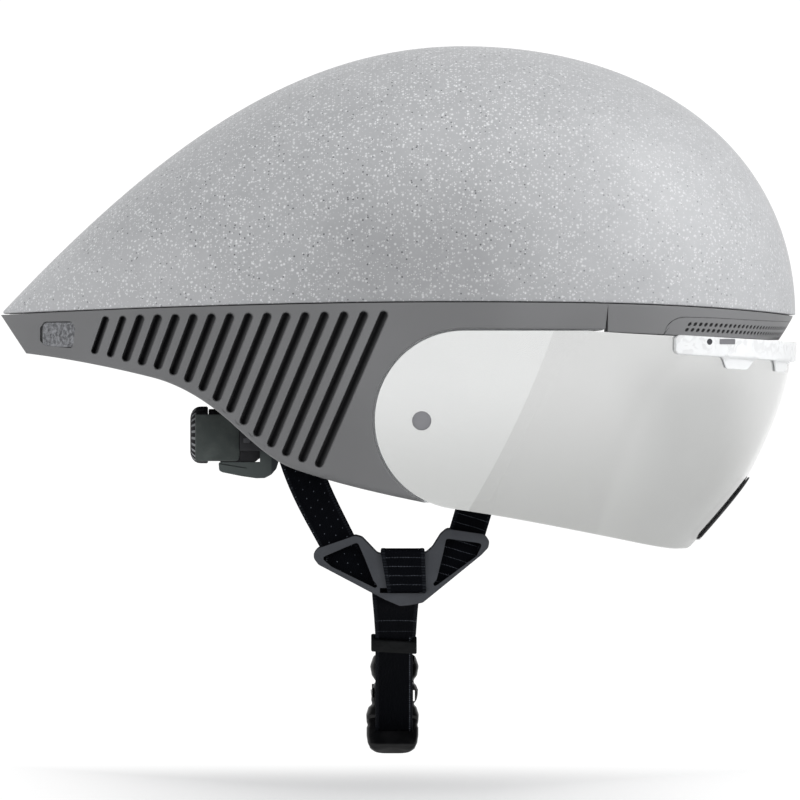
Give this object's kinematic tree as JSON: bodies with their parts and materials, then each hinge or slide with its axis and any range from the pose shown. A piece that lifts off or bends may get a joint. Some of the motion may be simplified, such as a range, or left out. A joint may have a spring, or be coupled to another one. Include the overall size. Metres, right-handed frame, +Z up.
{
  "type": "time-trial bicycle helmet",
  "caption": "Long-tailed time-trial bicycle helmet with slotted sides, a magnetic wrap-round mirror lens, a rear fit dial and buckled chin straps.",
  "frame": {"origin": "middle of the head cavity on the mid-plane, level with the lower edge of the brow, where the head carries the helmet", "axes": "+X forward, +Y to the wearer's left, +Z up"},
  "size_m": [0.3739, 0.196, 0.3332],
  "materials": {
    "shell": "speckled light grey, satin gloss",
    "foam": "dark expanded foam beads",
    "body": "mid grey, satin",
    "badge": "fine grained dark plate",
    "mesh": "black moulded mesh",
    "magnet": "nickel plated",
    "pad": "black knitted pad cloth",
    "webbing": "black woven webbing with pale stitches",
    "divider": "slate grey moulding",
    "buckle": "black, glossy",
    "lens": "silver mirror coat on a curved lens",
    "clear": "clear moulded plastic",
    "seal": "black soft rubber",
    "screw": "black oxide",
    "fit": "dark green-grey moulding",
    "dial": "fluted soft-touch dial"
  },
  "bodies": {
    "helmet": {"top_shell": "shell", "foam_liner": "foam", "side_panel_right": "body", "side_panel_left": "body", "brow_band": "body", "brow_vent_grille": "mesh", "tail_badge_right": "badge", "tail_badge_left": "badge", "vent_baffle_right": "mesh", "vent_baffle_left": "mesh", "brow_magnets": "magnet", "side_magnets": "magnet", "brow_pad": "pad", "crown_pad": "pad", "side_pad_right": "pad", "side_pad_left": "pad", "strap_anchors": "fit", "rear_strap_right": "webbing", "rear_strap_left": "webbing", "front_strap_right": "webbing", "front_strap_left": "webbing", "divider_right": "divider", "divider_left": "divider", "strap_loop_right": "webbing", "strap_loop_left": "webbing", "chin_strap_right": "webbing", "chin_strap_left": "webbing", "buckle_strap": "webbing", "buckle_female": "buckle", "fit_pins": "fit"},
    "keeper": {"keeper": "seal"},
    "visor": {"visor_lens": "lens", "visor_bridge": "clear", "visor_magnets": "magnet", "nose_seal": "seal", "bridge_screws": "screw"},
    "buckle_male": {"buckle_male": "buckle"},
    "buckle_arm_front": {"buckle_arm_front": "buckle"},
    "buckle_arm_rear": {"buckle_arm_rear": "buckle"},
    "fit_arms": {"fit_arm_right": "fit", "fit_arm_left": "fit"},
    "cradle": {"cradle": "fit", "dial_housing": "fit", "occipital_pad_right": "pad", "occipital_pad_left": "pad"},
    "fit_dial": {"dial_knob": "dial", "dial_shaft": "dial"}
  },
  "joints": [
    {"name": "visor_release", "type": "slide", "parent": "helmet", "child": "visor", "axis": [0.9929, 0, -0.1191], "range_m": [0, 0.22]},
    {"name": "keeper_slide", "type": "slide", "parent": "helmet", "child": "keeper", "axis": [0, 0.7724, -0.6351], "range_m": [0, 0.012]},
    {"name": "buckle_release", "type": "slide", "parent": "helmet", "child": "buckle_male", "axis": [0, -0.7071, -0.7071], "range_m": [0, 0.03], "deforming": ["buckle_strap"]},
    {"name": "arm_press_front", "type": "hinge", "parent": "buckle_male", "child": "buckle_arm_front", "pos_m": [-0.0557, 0.00993, -0.18007], "axis": [0, -0.7071, 0.7071], "range_deg": [0, 5], "stiffness_Nm_per_rad": 0.5},
    {"name": "arm_press_rear", "type": "hinge", "parent": "buckle_male", "child": "buckle_arm_rear", "pos_m": [-0.0689, 0.00993, -0.18007], "axis": [0, 0.7071, -0.7071], "range_deg": [0, 5], "stiffness_Nm_per_rad": 0.5},
    {"name": "fit_tilt", "type": "hinge", "parent": "helmet", "child": "fit_arms", "pos_m": [-0.032, 0, 0.002], "axis": [0, 1, 0], "range_deg": [-6, 6]},
    {"name": "fit_slide", "type": "slide", "parent": "fit_arms", "child": "cradle", "axis": [1, 0, 0], "range_m": [0, 0.015]},
    {"name": "dial_turn", "type": "hinge", "parent": "cradle", "child": "fit_dial", "pos_m": [-0.1525, 0, -0.0446], "axis": [1, 0, 0], "range_deg": [0, 540]}
  ],
  "couplings": [
    {"joint": "dial_turn", "follows": "fit_slide", "rad_per_m": 628.32}
  ]
}
